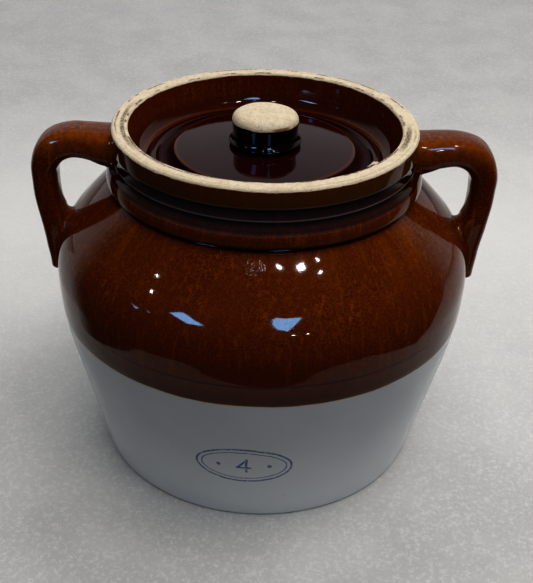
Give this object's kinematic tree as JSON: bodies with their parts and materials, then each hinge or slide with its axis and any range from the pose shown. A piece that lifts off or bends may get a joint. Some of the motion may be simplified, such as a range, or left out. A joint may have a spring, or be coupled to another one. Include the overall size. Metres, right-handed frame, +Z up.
{
  "type": "butter crock",
  "caption": "Squat stoneware storage crock with two loop handles, a ribbed collar and a drop-in lid with a round knob, brown glaze over white.",
  "frame": {"origin": "centre of the foot, on the surface that the crock stands on", "axes": "+Z up, +X from the crock's axis through the right handle, -Y towards the front with the size mark"},
  "size_m": [0.2372, 0.214, 0.1871],
  "materials": {
    "crock_glaze": "glossy brown glaze above, white glaze below, bare clay rim",
    "handle_glaze": "glossy brown glaze",
    "lid_glaze": "glossy dark brown glaze",
    "knob_glaze": "bare clay top on a dark glazed stem"
  },
  "bodies": {
    "crock": {"crock_body": "crock_glaze", "left_handle": "handle_glaze", "right_handle": "handle_glaze"},
    "lid": {"lid_plate": "lid_glaze", "lid_knob": "knob_glaze"}
  },
  "joints": [
    {"name": "lid_lift", "type": "slide", "parent": "crock", "child": "lid", "axis": [0, 0, 1], "range_m": [0, 0.08]}
  ]
}
